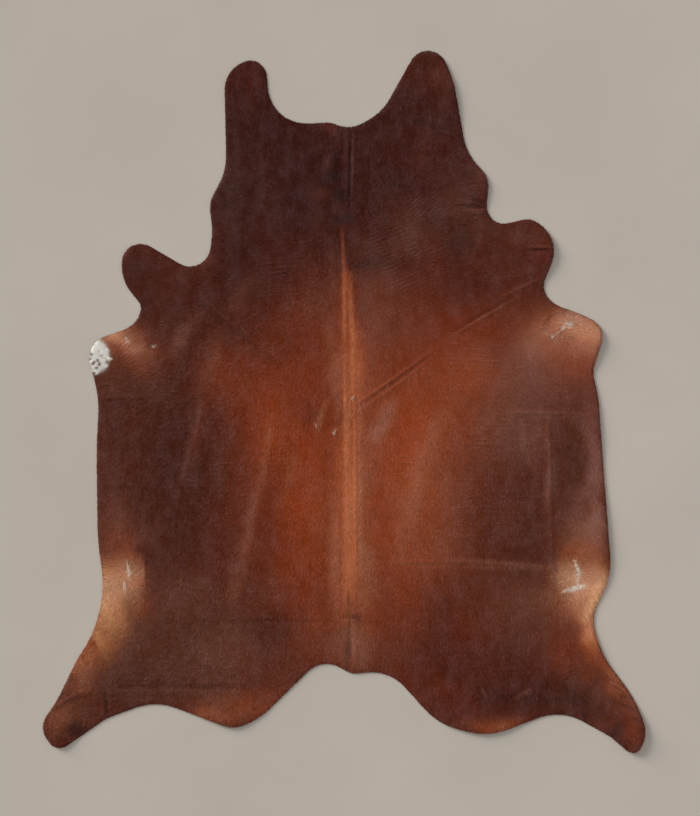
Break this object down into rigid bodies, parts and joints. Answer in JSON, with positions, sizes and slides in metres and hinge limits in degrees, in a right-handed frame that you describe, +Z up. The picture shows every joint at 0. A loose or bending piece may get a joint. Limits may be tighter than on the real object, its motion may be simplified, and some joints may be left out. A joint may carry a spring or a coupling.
{
  "type": "cowhide rug",
  "caption": "Whole natural brown cowhide laid flat as a floor rug, hair side up, with neck flaps, short leg flaps, low storage creases and softly curled edges.",
  "frame": {"origin": "on the floor, under the middle of the hide's length and width", "axes": "+Z up, out of the hair side; +Y along the spine towards the neck; +X towards the hide's right side as seen from above"},
  "size_m": [1.923, 2.2424, 0.015],
  "materials": {
    "hair_on_hide": "short glossy hair over leather"
  },
  "bodies": {
    "root": {"hide": "hair_on_hide"}
  },
  "joints": []
}
